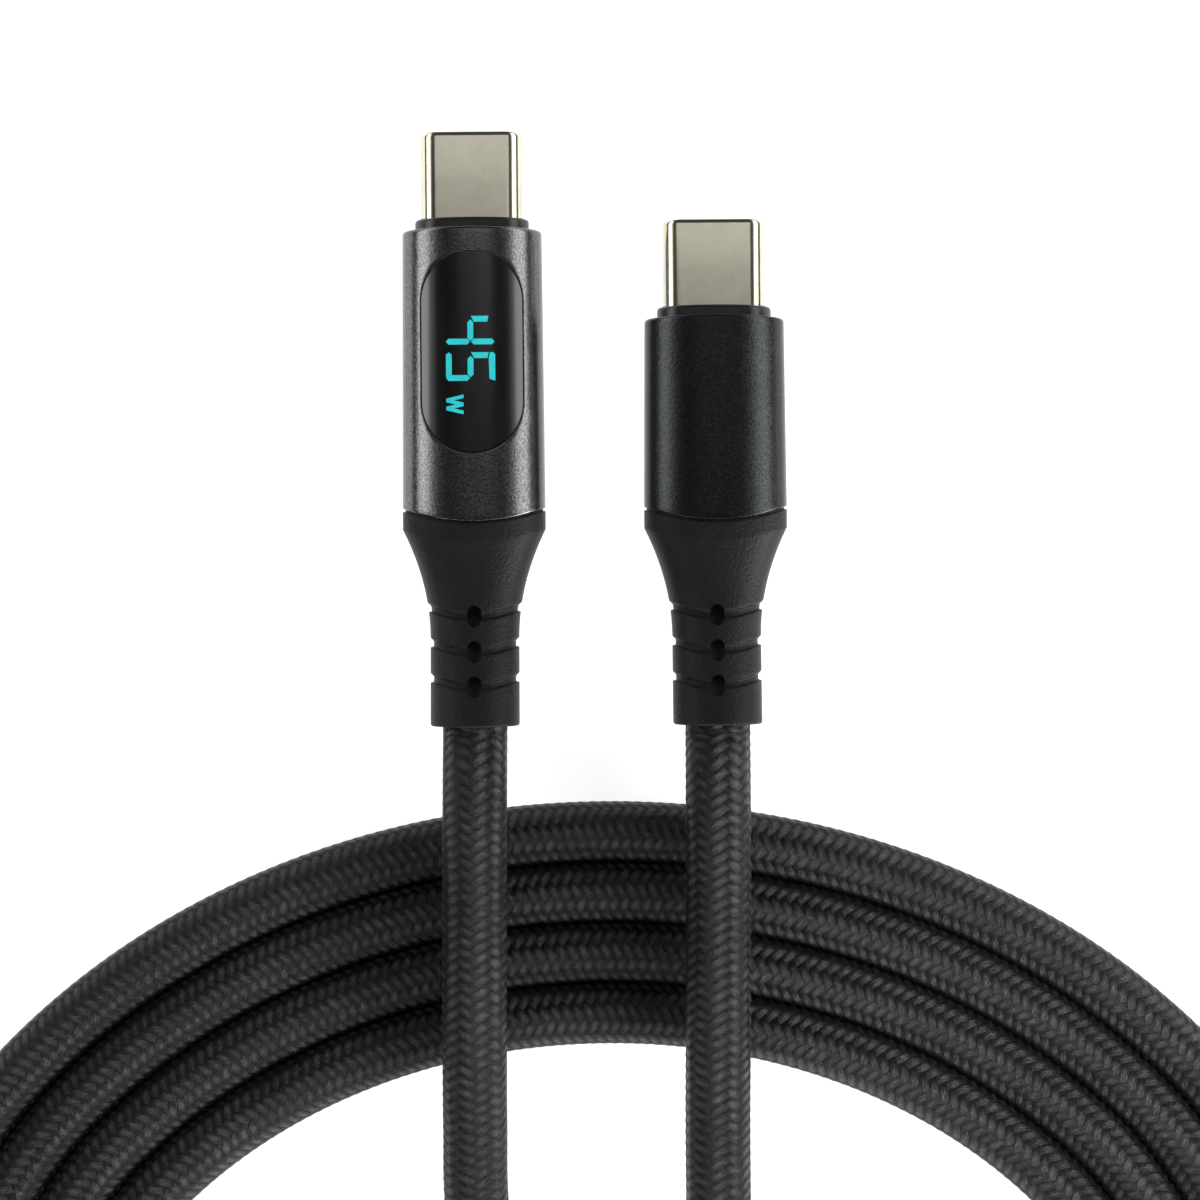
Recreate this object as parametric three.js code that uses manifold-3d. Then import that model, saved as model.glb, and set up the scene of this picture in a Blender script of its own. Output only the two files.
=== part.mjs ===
// A USB-C charging cable with a power meter built into one of its plugs, lying coiled.
// Millimetres, +Z up. The origin is on the floor, under the middle of the meter plug.
// Each plug points along +Y. Inside a plug, y = 0 is the seam between case and boot, at its
// sides, and z = 0 is the plug's axis.
import * as THREE from 'three';
import { mergeVertices } from 'three/addons/utils/BufferGeometryUtils.js';
import Module from 'manifold-3d';

const wasm = await Module();
wasm.setup();

// The USB-C plug, from the connector standard.
const PLUG_WIDTH = 8.25;
const PLUG_HEIGHT = 2.4;
const PLUG_REACH = 7.0;
const SHELL_WALL = 0.3;
const MOUTH_WIDTH = 7.0;
const MOUTH_HEIGHT = 1.1;
const CONTACT_POSITIONS = 12;
const UPPER_CONTACTS = [0, 3, 4, 5, 6, 8, 11]; // ground, power, sense, data pair, power, ground
const LOWER_CONTACTS = [0, 3, 4, 8, 11];
const CONTACT_PITCH = 0.5;
const CONTACT_WIDTH = 0.24;
const CONTACT_THICKNESS = 0.12;
const CONTACT_LIFT = 0.4; // from the plug's axis to the contact's inner face

// The case and what closes its nose.
const CASE_WIDTH = 11.6;
const CASE_DEPTH = 7.4;
const CASE_SQUARENESS = 2.5; // the exponent of its oval section
const CASE_WALL = 0.7;
const CASE_SHOULDER = 0.5;
const METER_CASE_LENGTH = 22.75;
const PLAIN_CASE_LENGTH = 15.5;
const COLLAR_WIDTH = 9.2;
const COLLAR_HEIGHT = 4.2;
const COLLAR_REACH = 0.85;
const SEAM_SAG = 1.06; // how far the case's rear edge runs back at its middle
const SEAM_GAP = 0.3;

// The window of the meter and its reading.
const WINDOW_WIDTH = 8.2;
const WINDOW_LENGTH = 16.3;
const WINDOW_MIDDLE = 12.6;
const LENS_THICKNESS = 0.7;
const DIGIT_HEIGHT = 4.0;
const DIGIT_WIDTH = 2.4;
const DIGIT_FOOT = -2.15; // x of the characters' feet: their tops face +X
const DIGIT_STROKE = 0.5;
const DIGIT_PITCH = 2.95;
const FIRST_DIGIT = 15.65; // y where the reading starts: it runs towards the boot
const UNIT_HEIGHT = 1.45;
const UNIT_WIDTH = 1.65;

// The strain-relief boot. Its tail is bent up by the cord, which climbs over the coil.
const BOOT_LENGTH = 17.6;
const BOOT_RIM = 1.75;
const BOOT_TAPER = 8.8; // the length over which it narrows behind its rim
const BOOT_TAIL_WIDTH = 7.2;
const BOOT_TAIL_DEPTH = 6.5;
const BOOT_BORE = 4.7;
const GROOVES = [8.0, 10.85, 13.7];
const GROOVE_WIDTH = 0.5;
const GROOVE_DEPTH = 0.25;
const SLOT_WIDTH = 1.05;
const SLOT_LENGTH = 1.6;
const SLOT_DEPTH = 0.7;
const TAIL_LIFT = 2.4;
const LIFT_START = 2.0;

// The cord, and the flat coil of four turns that it lies in.
const CORD_DIAMETER = 5.0;
const JACKET_DIAMETER = 4.3;
const LANE_PITCH = 4.9;
const LANES = 4;
const COIL_MIDDLE_X = 10.45;
const COIL_TOP_Y = -30.4;
const COIL_HALF_WIDTH = 64; // of the ellipse that its upper edge follows
const COIL_HALF_HEIGHT = 54.5;
const COIL_CORNER = 40; // radius of the rest of its outer edge
const CLEARANCE = 0.3;

// Where the two plugs lie.
const SEAM_Y = -6.5;
const AXIS_Z = CASE_DEPTH / 2;
const PLAIN_X = 19.6;

const INK = {
  steel: { color: 0xb9b6ab, roughness: 0.28, metalness: 1 },
  brightSteel: { color: 0xc4c4c2, roughness: 0.35, metalness: 1 },
  gold: { color: 0xd8a13c, roughness: 0.25, metalness: 1 },
  copper: { color: 0xb46a3c, roughness: 0.4, metalness: 1 },
  insulator: { color: 0x1c1d1f, roughness: 0.55, metalness: 0 },
  caseMetal: { color: 0x35383b, roughness: 0.38, metalness: 0.9 },
  collar: { color: 0x2b2d30, roughness: 0.42, metalness: 0.6 },
  boot: { color: 0x26282a, roughness: 0.72, metalness: 0 },
  cord: { color: 0x2d2e31, roughness: 0.85, metalness: 0 },
  jacket: { color: 0x1a1a1b, roughness: 0.7, metalness: 0 },
  carrier: { color: 0xd8d6cf, roughness: 0.6, metalness: 0 },
  board: { color: 0x15432c, roughness: 0.5, metalness: 0 },
  chip: { color: 0x17181a, roughness: 0.45, metalness: 0 },
  ceramic: { color: 0x9a7a55, roughness: 0.5, metalness: 0 },
  panel: { color: 0x0c0d0f, roughness: 0.4, metalness: 0 },
  digits: { color: 0x1cc7cc, roughness: 0.4, metalness: 0 },
  lens: { color: 0x08090a, roughness: 0.06, metalness: 0 },
};
// Each wire's place in the cable's end, in X and Z, and the x of its pad on the board.
const WIRES = [
  { name: 'ground_wire', core: [-0.75, -0.55], pad: -3.1, diameter: 0.95, color: 0x151515 },
  { name: 'data_minus_wire', core: [-0.75, 0.45], pad: -1.45, diameter: 0.6, color: 0xe6e6e2 },
  { name: 'sense_wire', core: [0, 0.75], pad: 0, diameter: 0.6, color: 0x2c5fb3 },
  { name: 'data_plus_wire', core: [0.75, 0.45], pad: 1.45, diameter: 0.6, color: 0x3a9a4c },
  { name: 'power_wire', core: [0.75, -0.55], pad: 3.1, diameter: 0.95, color: 0xb3261e },
];

// ---- outlines, drawn in X and Y ----

function roundedRectangle(width, height, radius) {
  const x = width / 2 - radius;
  const y = height / 2 - radius;
  const shape = new THREE.Shape();
  shape.moveTo(-x, -height / 2);
  shape.lineTo(x, -height / 2);
  shape.absarc(x, -y, radius, -Math.PI / 2, 0, false);
  shape.lineTo(width / 2, y);
  shape.absarc(x, y, radius, 0, Math.PI / 2, false);
  shape.lineTo(-x, height / 2);
  shape.absarc(-x, y, radius, Math.PI / 2, Math.PI, false);
  shape.lineTo(-width / 2, -y);
  shape.absarc(-x, -y, radius, Math.PI, 1.5 * Math.PI, false);
  return shape;
}

function stadium(width, height) {
  return roundedRectangle(width, height, Math.min(width, height) / 2 - 0.001);
}

// A squared oval of straight facets, with one of them flat on each of its four sides.
function oval(width, height, squareness = 2, points = 28) {
  const power = 2 / squareness;
  const share = (value) => Math.sign(value) * Math.abs(value) ** power;
  const most = share(Math.cos(Math.PI / points));
  const outline = [];
  for (let i = 0; i < points; i += 1) {
    const angle = (2 * Math.PI * (i + 0.5)) / points;
    const x = (share(Math.cos(angle)) / most) * (width / 2);
    const y = (share(Math.sin(angle)) / most) * (height / 2);
    outline.push(new THREE.Vector2(x, y));
  }
  return new THREE.Shape(outline);
}

// ---- solids ----

// Extrudes an outline along +Y. Its own X and Y become the solid's X and Z.
function alongY(shape, back, front, curveSegments = 4) {
  const geometry = new THREE.ExtrudeGeometry(shape, {
    depth: front - back,
    bevelEnabled: false,
    curveSegments,
  });
  return geometry.rotateX(Math.PI / 2).translate(0, front, 0);
}

// Extrudes an outline up from one height to another.
function upright(shape, low, high, curveSegments = 6) {
  const geometry = new THREE.ExtrudeGeometry(shape, {
    depth: high - low,
    bevelEnabled: false,
    curveSegments,
  });
  return geometry.translate(0, 0, low);
}

// Runs a section of unit size through stations {y, width, depth, lift}, from front to back.
function loft(section, stations) {
  const geometry = new THREE.ExtrudeGeometry(section, {
    depth: stations.length - 1,
    steps: stations.length - 1,
    bevelEnabled: false,
  });
  const position = geometry.getAttribute('position');
  for (let i = 0; i < position.count; i += 1) {
    const station = stations[Math.round(position.getZ(i))];
    const x = position.getX(i) * station.width;
    const z = position.getY(i) * station.depth + (station.lift ?? 0);
    position.setXYZ(i, x, station.y, z);
  }
  return geometry;
}

function box(width, length, height, x, y, z) {
  return new THREE.BoxGeometry(width, length, height).translate(x, y, z);
}

function tube(path, diameter, sides, steps) {
  const section = new THREE.Shape();
  for (let i = 0; i < sides; i += 1) {
    const angle = (2 * Math.PI * i) / sides;
    const x = (Math.cos(angle) * diameter) / 2;
    const y = (Math.sin(angle) * diameter) / 2;
    if (i === 0) section.moveTo(x, y);
    else section.lineTo(x, y);
  }
  const curve = new THREE.CatmullRomCurve3(path.map((p) => new THREE.Vector3(...p)));
  return new THREE.ExtrudeGeometry(section, { extrudePath: curve, steps, bevelEnabled: false });
}

function closed(geometry) {
  const bare = new THREE.BufferGeometry();
  bare.setAttribute('position', geometry.getAttribute('position'));
  if (geometry.index) bare.setIndex(geometry.index);
  const merged = mergeVertices(bare, 1e-4);
  const mesh = new wasm.Mesh({
    numProp: 3,
    vertProperties: new Float32Array(merged.getAttribute('position').array),
    triVerts: new Uint32Array(merged.index.array),
  });
  return new wasm.Manifold(mesh);
}

function join(...geometries) {
  return geometries.map(closed).reduce((all, one) => all.add(one));
}

function toGeometry(manifold) {
  const mesh = manifold.getMesh();
  const geometry = new THREE.BufferGeometry();
  const corners = new Float32Array(mesh.numVert * 3);
  for (let i = 0; i < mesh.numVert; i += 1) {
    for (let axis = 0; axis < 3; axis += 1) {
      corners[3 * i + axis] = mesh.vertProperties[mesh.numProp * i + axis];
    }
  }
  geometry.setAttribute('position', new THREE.BufferAttribute(corners, 3));
  geometry.setIndex(new THREE.BufferAttribute(new Uint32Array(mesh.triVerts), 1));
  return geometry;
}

function piece(name, shape, finish) {
  const geometry = shape instanceof THREE.BufferGeometry ? shape : toGeometry(shape);
  geometry.computeVertexNormals();
  const mesh = new THREE.Mesh(geometry, new THREE.MeshStandardMaterial(finish));
  mesh.name = name;
  return mesh;
}

// ---- the plug: shell, moulding, contacts and latch arms ----

// Every y here is counted from the case's nose, towards the plug's tip.
const TIP = COLLAR_REACH + PLUG_REACH;
const CONTACT_FRONT = TIP - 1.0;
const CONTACT_BACK = -4.2;
const LATCH_ROOT = TIP - 8.6;
const LATCH_FRONT = TIP - 1.6;
const LATCH_X = 3.1;
const LATCH_THICKNESS = 0.18;
const LATCH_HEIGHT = 0.4;

function plugShell() {
  const back = -2.5;
  const outside = alongY(stadium(PLUG_WIDTH, PLUG_HEIGHT), back, TIP);
  const hollow = stadium(PLUG_WIDTH - 2 * SHELL_WALL, PLUG_HEIGHT - 2 * SHELL_WALL);
  return closed(outside).subtract(closed(alongY(hollow, back - 1, TIP + 1)));
}

function plugInsulator() {
  const back = -1.6;
  const front = TIP - 0.35;
  const outside = alongY(stadium(MOUTH_WIDTH + 0.5, MOUTH_HEIGHT + 0.55), back, front);
  const mouth = alongY(stadium(MOUTH_WIDTH, MOUTH_HEIGHT), back - 1, front + 1);
  return closed(outside).subtract(closed(mouth));
}

// A row of stamped strips, held by the moulded bar that they are set in. side is 1 or -1.
function contactRow(side, positions) {
  const middle = side * (CONTACT_LIFT + CONTACT_THICKNESS / 2);
  const length = CONTACT_FRONT - CONTACT_BACK;
  const row = [box(5.9, 0.8, CONTACT_THICKNESS, 0, -0.9, middle)];
  for (const i of positions) {
    const x = (i - (CONTACT_POSITIONS - 1) / 2) * CONTACT_PITCH;
    row.push(box(CONTACT_WIDTH, length, CONTACT_THICKNESS, x, CONTACT_BACK + length / 2, middle));
  }
  return join(...row);
}

// A spring arm with a hook that snaps into the socket's tongue. side is 1 or -1 along X.
function latchArm(side) {
  const length = LATCH_FRONT - LATCH_ROOT;
  const middle = LATCH_ROOT + length / 2;
  const arm = box(LATCH_THICKNESS, length, LATCH_HEIGHT, side * LATCH_X, middle, 0);
  const hook = box(0.26, 0.5, LATCH_HEIGHT, side * (LATCH_X - 0.1), LATCH_FRONT - 0.25, 0);
  return join(arm, hook);
}

// The plate between the two contact rows that the latch arms are stamped from.
function latchPlate() {
  return box(6.2, 1.4, 0.2, 0, LATCH_ROOT - 0.8, 0);
}

function noseCollar() {
  const neck = alongY(stadium(COLLAR_WIDTH, COLLAR_HEIGHT), -1.5, COLLAR_REACH);
  const flange = alongY(stadium(COLLAR_WIDTH + 0.7, COLLAR_HEIGHT + 0.7), -1.9, -1.1);
  const hole = alongY(stadium(PLUG_WIDTH + 0.1, PLUG_HEIGHT + 0.1), -3, COLLAR_REACH + 1);
  return join(neck, flange).subtract(closed(hole));
}

// ---- case, lens and boot ----

function seamAt(x) {
  return -SEAM_SAG * (1 - (2 * x / CASE_WIDTH) ** 2);
}

// Bends the end of a solid that lies at the seam to the seam's curve.
function bendToSeam(geometry, end, gap) {
  const position = geometry.getAttribute('position');
  for (let i = 0; i < position.count; i += 1) {
    if (Math.abs(position.getY(i) - end) < 1e-4) {
      position.setY(i, seamAt(position.getX(i)) - gap);
    }
  }
  return geometry;
}

function caseOutside(length) {
  const stations = [];
  for (const angle of [90, 60, 30, 0]) {
    const turn = THREE.MathUtils.degToRad(angle);
    const inset = CASE_SHOULDER * (1 - Math.cos(turn));
    stations.push({
      y: length - CASE_SHOULDER * (1 - Math.sin(turn)),
      width: CASE_WIDTH - 2 * inset,
      depth: CASE_DEPTH - 2 * inset,
    });
  }
  stations.push({ y: 0, width: CASE_WIDTH, depth: CASE_DEPTH });
  return bendToSeam(loft(oval(1, 1, CASE_SQUARENESS), stations), 0, 0);
}

function windowPrism(clearance) {
  const outline = stadium(WINDOW_WIDTH + 2 * clearance, WINDOW_LENGTH + 2 * clearance);
  return closed(upright(outline, 0.5, CASE_DEPTH).translate(0, WINDOW_MIDDLE, 0));
}

function caseShell(length, hasWindow) {
  const section = oval(
    CASE_WIDTH - 2 * CASE_WALL,
    CASE_DEPTH - 2 * CASE_WALL,
    CASE_SQUARENESS,
  );
  const hollow = alongY(section, -3, length - 1.0);
  const mouth = alongY(stadium(COLLAR_WIDTH + 0.1, COLLAR_HEIGHT + 0.1), length - 3, length + 1);
  const shell = closed(caseOutside(length)).subtract(closed(hollow)).subtract(closed(mouth));
  return hasWindow ? shell.subtract(windowPrism(0.05)) : shell;
}

function displayLens(length) {
  const outside = closed(caseOutside(length));
  const under = outside.translate([0, 0, -LENS_THICKNESS]);
  return outside.intersect(windowPrism(-0.1)).subtract(under);
}

// How far the boot's tail is bent up, at a distance from the seam.
function bootLift(distance) {
  const bent = Math.max(0, distance - LIFT_START) / (BOOT_LENGTH - LIFT_START);
  return TAIL_LIFT * bent * bent;
}

// The boot narrows from its rim to its tail along one smooth curve.
function bootShare(distance) {
  const along = Math.min(1, Math.max(0, distance - BOOT_RIM) / BOOT_TAPER);
  return (1 - along) ** 2;
}

function bootStation(distance, groove = 0) {
  const share = bootShare(distance);
  return {
    y: -distance,
    width: BOOT_TAIL_WIDTH + (CASE_WIDTH - BOOT_TAIL_WIDTH) * share - 2 * groove,
    depth: BOOT_TAIL_DEPTH + (CASE_DEPTH - BOOT_TAIL_DEPTH) * share - 2 * groove,
    lift: bootLift(distance),
  };
}

function bootBody() {
  const stations = [0, BOOT_RIM, 2.4, 3.2, 4.3, 5.8].map((d) => bootStation(d));
  for (const groove of GROOVES) {
    stations.push(bootStation(groove - GROOVE_WIDTH / 2));
    stations.push(bootStation(groove - GROOVE_WIDTH / 4, GROOVE_DEPTH));
    stations.push(bootStation(groove + GROOVE_WIDTH / 4, GROOVE_DEPTH));
    stations.push(bootStation(groove + GROOVE_WIDTH / 2));
  }
  stations.push(bootStation(BOOT_LENGTH));
  return bendToSeam(loft(oval(1, 1, 2.3), stations), 0, SEAM_GAP);
}

// A round bar along the boot's bent axis, from one distance behind the seam to another.
function bentBar(diameter, from, to, steps) {
  const stations = [];
  for (let i = 0; i <= steps; i += 1) {
    const distance = from + ((to - from) * i) / steps;
    stations.push({ y: -distance, width: diameter, depth: diameter, lift: bootLift(distance) });
  }
  return loft(oval(1, 1, 2, 12), stations);
}

function boot() {
  const spigot = alongY(oval(9.6, 5.4, CASE_SQUARENESS), -2.5, 2.2);
  let body = join(bootBody(), spigot);
  body = body.subtract(closed(bentBar(BOOT_BORE, -4, BOOT_LENGTH + 1, 8)));
  for (const groove of GROOVES) {
    for (const side of [1, -1]) {
      const face = bootLift(groove) + side * (BOOT_TAIL_DEPTH / 2 - SLOT_DEPTH);
      const low = side > 0 ? face : face - 2;
      const slot = upright(stadium(SLOT_WIDTH, SLOT_LENGTH), low, low + 2, 2);
      body = body.subtract(closed(slot.translate(0, -groove - GROOVE_WIDTH, 0)));
    }
  }
  return body;
}

// ---- what the case holds ----

const BOARD_BACK = 7.0;
const JACKET_FRONT = 4.2;
const INNER_MOULD_FRONT = 6.6;

// The block moulded round the wires between the cable and the board.
function innerMould() {
  const block = alongY(roundedRectangle(9.4, 4.0, 1.2), JACKET_FRONT + 0.2, INNER_MOULD_FRONT, 3);
  const passage = roundedRectangle(8.4, 2.8, 0.6);
  return closed(block).subtract(closed(alongY(passage, 0, INNER_MOULD_FRONT + 1, 2)));
}

function shieldCan(length) {
  const back = length - 8.5;
  const front = length - 2.0;
  const outside = closed(alongY(roundedRectangle(9.9, 3.2, 0.8), back, front, 3));
  return outside.subtract(closed(alongY(roundedRectangle(9.5, 2.8, 0.6), back - 1, front + 1, 3)));
}

function boardCarrier(length) {
  const back = BOARD_BACK;
  const front = length - 8.8;
  const middle = (back + front) / 2;
  const floor = box(8.0, front - back, 0.7, 0, middle, -1.55);
  const rails = [-1, 1].map((side) => box(0.4, front - back, 1.45, side * 4.5, middle, -0.55));
  const shelves = [-1, 1].map((side) => box(0.9, front - back, 0.85, side * 4.1, middle, -0.85));
  return join(floor, ...rails, ...shelves);
}

// One bar of a character. u runs along the reading and v towards the characters' tops.
function bar(start, u, v, width, height) {
  return box(height, width, 0.2, DIGIT_FOOT + v + height / 2, start - u - width / 2, 2.3);
}

// Bars of a seven-bar digit: a is the top, b and c its right side, and so on round to f, with
// g in the middle.
function digit(start, lit) {
  const s = DIGIT_STROKE;
  const half = DIGIT_HEIGHT / 2;
  const right = DIGIT_WIDTH - s;
  const bars = {
    a: [0, DIGIT_HEIGHT - s, DIGIT_WIDTH, s],
    b: [right, half, s, half],
    c: [right, 0, s, half],
    d: [0, 0, DIGIT_WIDTH, s],
    f: [0, half, s, half],
    g: [0, half - s / 2, DIGIT_WIDTH, s],
  };
  return [...lit].map((name) => bar(start, ...bars[name]));
}

function unitSign(start) {
  const thin = 0.27;
  const uprights = [0, (UNIT_WIDTH - thin) / 2, UNIT_WIDTH - thin];
  return [
    bar(start, 0, 0, UNIT_WIDTH, thin),
    ...uprights.map((u) => bar(start, u, 0, thin, UNIT_HEIGHT)),
  ];
}

function displayReading() {
  const plate = box(6.6, 11.6, 0.2, 0, WINDOW_MIDDLE, 2.1);
  const four = digit(FIRST_DIGIT, 'bcfg');
  const five = digit(FIRST_DIGIT - DIGIT_PITCH, 'acdfg');
  const watt = unitSign(FIRST_DIGIT - 2 * DIGIT_PITCH - 0.45);
  return join(plate, ...four, ...five, ...watt);
}

// From its place in the cable's end to its pad on the board.
function wire({ pad, core, diameter }) {
  const rest = 0.32 + diameter / 2;
  const path = [
    [core[0], JACKET_FRONT + 0.15, core[1]],
    [core[0], JACKET_FRONT + 0.7, core[1]],
    [pad * 0.85, INNER_MOULD_FRONT - 0.2, rest],
    [pad, BOARD_BACK + 0.5, rest],
    [pad, BOARD_BACK + 1.7, rest],
  ];
  return tube(path, diameter, 6, 6);
}

function crimp() {
  const back = -2.5;
  const front = -JACKET_FRONT + 0.2;
  const outside = closed(bentBar(5.6, front, back, 1));
  return outside.subtract(closed(bentBar(JACKET_DIAMETER + 0.1, front - 1, back + 1, 1)));
}

// ---- one plug with everything on and in it ----

function plugEnd(prefix, length, x, hasMeter) {
  const end = new THREE.Group();
  const nose = new THREE.Group();
  nose.position.y = length;
  end.add(nose);
  const add = (group, name, shape, finish) => group.add(piece(`${prefix}_${name}`, shape, finish));

  add(nose, 'plug_shell', plugShell(), INK.steel);
  add(nose, 'plug_insulator', plugInsulator(), INK.insulator);
  add(nose, 'upper_contacts', contactRow(1, UPPER_CONTACTS), INK.gold);
  add(nose, 'lower_contacts', contactRow(-1, LOWER_CONTACTS), INK.gold);
  add(nose, 'latch_plate', latchPlate(), INK.brightSteel);
  add(nose, 'left_latch', latchArm(-1), INK.brightSteel);
  add(nose, 'right_latch', latchArm(1), INK.brightSteel);
  add(nose, 'nose_collar', noseCollar(), INK.collar);

  add(end, 'case', caseShell(length, hasMeter), INK.caseMetal);
  add(end, 'boot', boot(), INK.boot);
  add(end, 'shield_can', shieldCan(length), INK.brightSteel);
  add(end, 'inner_mould', innerMould(), INK.carrier);
  const boardFront = length - 2.75;
  const boardMiddle = (boardFront + BOARD_BACK) / 2;
  add(end, 'board', box(8.5, boardFront - BOARD_BACK, 0.6, 0, boardMiddle, 0), INK.board);
  add(end, 'marker_chip', box(2.0, 2.0, 0.5, 1.6, length - 5.3, 0.6), INK.chip);
  add(end, 'capacitor', box(1.0, 0.5, 0.5, -2.2, length - 5.3, 0.6), INK.ceramic);
  if (hasMeter) {
    add(end, 'board_carrier', boardCarrier(length), INK.carrier);
    add(end, 'power_chip', box(3.0, 3.0, 0.75, -1.6, 12.4, 0.75), INK.chip);
    add(end, 'driver_chip', box(2.5, 3.0, 0.75, 2.0, 12.4, 0.75), INK.chip);
    add(end, 'shunt_resistor', box(3.2, 1.2, 0.5, -1.4, 9.8, 0.6), INK.copper);
    add(end, 'display_panel', box(7.0, 12.0, 0.3, 0, WINDOW_MIDDLE, 1.8), INK.panel);
    add(end, 'display_reading', displayReading(), INK.digits);
    add(end, 'display_lens', displayLens(length), INK.lens);
  }
  add(end, 'cable_crimp', crimp(), INK.brightSteel);
  const jacket = bentBar(JACKET_DIAMETER, -JACKET_FRONT, BOOT_LENGTH - 0.2, 10);
  add(end, 'cable_jacket', jacket, INK.jacket);
  for (const one of WIRES) {
    add(end, one.name, wire(one), { color: one.color, roughness: 0.5, metalness: 0 });
  }
  end.position.set(x, SEAM_Y, AXIS_Z);
  return end;
}

// ---- the cord ----

// A point of the coil at a turn from its top, in radians, clockwise to plus or minus half a
// turn, and at an inset from its outer edge. The two half turns are joined by a straight run.
function coilPoint(turn, inset) {
  const bent = Math.min(Math.abs(turn), Math.PI / 4);
  const across = COIL_HALF_WIDTH * Math.sin(bent);
  const down = COIL_HALF_HEIGHT * Math.cos(bent);
  const reach = Math.hypot(across, down);
  let x = (COIL_HALF_WIDTH * across) / reach;
  let y = (COIL_HALF_HEIGHT * down) / reach - COIL_HALF_HEIGHT;
  if (Math.abs(turn) > Math.PI / 4) {
    x += COIL_CORNER * (Math.sin(Math.abs(turn)) - Math.sin(bent));
    y += COIL_CORNER * (Math.cos(turn) - Math.cos(bent));
  }
  x -= inset * Math.sin(Math.abs(turn));
  y -= inset * Math.cos(turn);
  return [COIL_MIDDLE_X + Math.sign(turn) * x, COIL_TOP_Y + y];
}

// Anticlockwise, as an outline with a hole has to run.
function coilOutline(inset) {
  const steps = 40;
  const points = [];
  for (let i = 0; i <= steps; i += 1) {
    const turn = Math.PI * (1 - (2 * i) / steps);
    points.push(new THREE.Vector2(...coilPoint(turn, inset)));
  }
  return points;
}

function coilSolid() {
  const round = CORD_DIAMETER / 2 - 0.15;
  const width = (LANES - 1) * LANE_PITCH + CORD_DIAMETER;
  const shape = new THREE.Shape(coilOutline(round));
  shape.holes.push(new THREE.Path(coilOutline(width - round)));
  const geometry = new THREE.ExtrudeGeometry(shape, {
    depth: CORD_DIAMETER - 2 * round,
    bevelThickness: round,
    bevelSize: round,
    bevelSegments: 2,
  });
  return closed(geometry.translate(0, 0, round));
}

const BOOT_END_Y = SEAM_Y - BOOT_LENGTH;
const LEG_Z = AXIS_Z + TAIL_LIFT;
const FLOOR_Z = CORD_DIAMETER / 2 + 0.05;
const CROSSING_Z = CORD_DIAMETER * 1.5 + CLEARANCE;

// From the meter plug's boot over the coil, down inside it and round to its innermost turn.
const METER_LEG = [
  [0, BOOT_END_Y - CLEARANCE, LEG_Z],
  [0, BOOT_END_Y - 1.0, LEG_Z + 0.05],
  [0, -28.0, 7.15],
  [0, -33.0, CROSSING_Z],
  [0, -40.0, CROSSING_Z + 0.15],
  [0, -48.0, CROSSING_Z],
  [0, -56.0, 6.2],
  [0.2, -64.0, 4.0],
  [2.0, -72.5, 2.8],
  [3.2, -81.5, FLOOR_Z],
  [0.6, -90.5, FLOOR_Z],
  [-6.2, -95.2, FLOOR_Z],
];
// From the plain plug's boot over the coil, across its inside, and over the turns on the right.
const PLAIN_LEG = [
  [PLAIN_X, BOOT_END_Y - CLEARANCE, LEG_Z],
  [PLAIN_X, BOOT_END_Y - 1.0, LEG_Z + 0.05],
  [PLAIN_X, -28.0, 7.15],
  [PLAIN_X, -33.0, CROSSING_Z],
  [PLAIN_X, -40.0, CROSSING_Z + 0.15],
  [PLAIN_X, -48.0, CROSSING_Z],
  [PLAIN_X, -58.0, 6.7],
  [PLAIN_X + 0.2, -68.0, 5.9],
  [PLAIN_X + 1.0, -79.0, 6.0],
  [PLAIN_X + 5.6, -90.5, 7.0],
  [PLAIN_X + 14.0, -98.8, CROSSING_Z],
  [PLAIN_X + 24.4, -101.8, CROSSING_Z + 0.1],
];

const cable = new THREE.Group();
cable.add(plugEnd('meter', METER_CASE_LENGTH, 0, true));
cable.add(plugEnd('plain', PLAIN_CASE_LENGTH, PLAIN_X, false));
cable.add(piece('cord_coil', coilSolid(), INK.cord));
cable.add(piece('cord_leg_meter', tube(METER_LEG, CORD_DIAMETER, 8, 22), INK.cord));
cable.add(piece('cord_leg_plain', tube(PLAIN_LEG, CORD_DIAMETER, 8, 22), INK.cord));

export default cable;
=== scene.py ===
"""A USB-C charging cable with a power meter in one of its plugs: the looks around the CAD frame.

Lengths are in metres, and MM turns a size given in millimetres into metres. Each plug points
along +Y. Inside a plug, y = 0 is the seam between case and boot, and z = 0 is the plug's axis.
"""

import math

import bmesh
import bpy
import numpy as np
from mathutils import Matrix, Vector


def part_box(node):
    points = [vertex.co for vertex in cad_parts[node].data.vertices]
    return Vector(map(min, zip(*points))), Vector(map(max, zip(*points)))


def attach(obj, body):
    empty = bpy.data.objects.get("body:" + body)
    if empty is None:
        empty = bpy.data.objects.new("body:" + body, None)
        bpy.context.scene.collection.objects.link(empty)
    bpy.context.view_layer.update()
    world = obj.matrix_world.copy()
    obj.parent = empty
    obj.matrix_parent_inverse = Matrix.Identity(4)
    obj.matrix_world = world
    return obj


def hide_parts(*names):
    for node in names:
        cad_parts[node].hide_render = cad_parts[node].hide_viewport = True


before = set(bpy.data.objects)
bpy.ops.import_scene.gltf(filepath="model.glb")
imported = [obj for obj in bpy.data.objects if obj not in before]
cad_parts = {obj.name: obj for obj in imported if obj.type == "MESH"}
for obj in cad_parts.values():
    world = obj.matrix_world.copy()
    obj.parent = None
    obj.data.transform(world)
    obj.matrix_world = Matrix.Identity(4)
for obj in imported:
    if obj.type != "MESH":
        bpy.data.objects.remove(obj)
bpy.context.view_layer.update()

MM = 0.001
BODY = "cable"

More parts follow.
